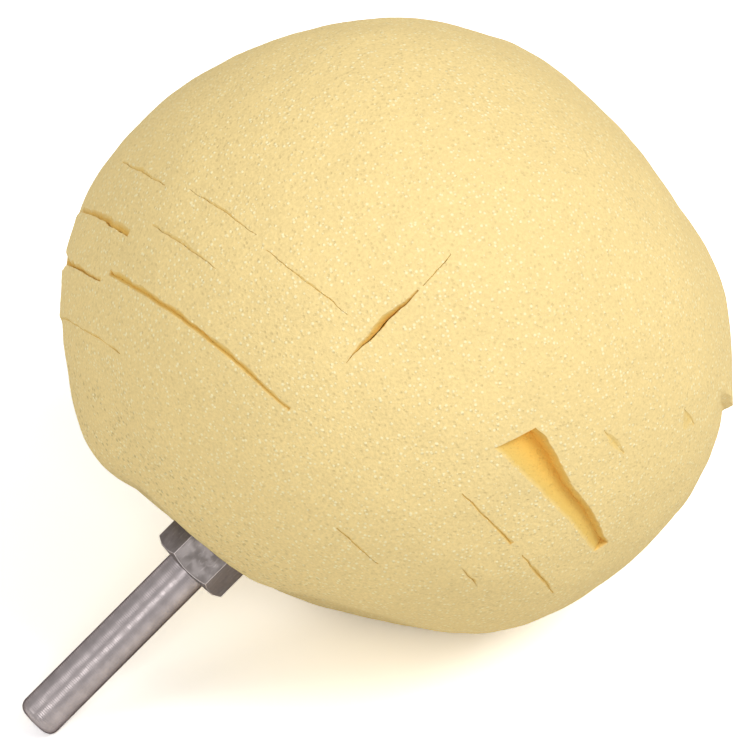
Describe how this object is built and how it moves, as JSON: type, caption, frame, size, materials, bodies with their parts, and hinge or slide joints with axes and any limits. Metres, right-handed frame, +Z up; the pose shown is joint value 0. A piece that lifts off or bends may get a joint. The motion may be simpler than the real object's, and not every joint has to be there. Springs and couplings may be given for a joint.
{
  "type": "polishing pad",
  "caption": "Slit foam polishing ball on a moulded hub that screws onto a round steel drill arbor, locked by a hexagon nut and washer.",
  "frame": {"origin": "middle of the footprint, on the floor that the foam's flat and the shank's tip lie on", "axes": "+Z up; +X from the shank's tip towards the ball; the arbor rises along +X and +Z"},
  "size_m": [0.1008, 0.0862, 0.0857],
  "materials": {
    "foam": "open-cell polyurethane foam, pale yellow, darker orange inside its slits",
    "shank_steel": "turned steel with fine lines round it",
    "nut_steel": "dull steel with scuffed flats",
    "washer_steel": "plain zinc-plated steel",
    "nylon": "moulded nylon, natural colour",
    "brass": "knurled brass"
  },
  "bodies": {
    "arbor": {"arbor": "shank_steel", "hex_nut": "nut_steel"},
    "washer": {"washer": "washer_steel"},
    "pad": {"foam_ball": "foam", "hub": "nylon", "thread_insert": "brass"}
  },
  "joints": [
    {"name": "pad_turn", "type": "hinge", "parent": "arbor", "child": "washer", "pos_m": [-0.02145, -0.00465, 0.02203], "axis": [0.8097, 0, 0.5869], "range_deg": [0, 3240]},
    {"name": "pad_travel", "type": "slide", "parent": "washer", "child": "pad", "axis": [0.8097, 0, 0.5869], "range_m": [0, 0.009]}
  ],
  "couplings": [
    {"joint": "pad_travel", "follows": "pad_turn", "m_per_rad": 0.00015915}
  ]
}
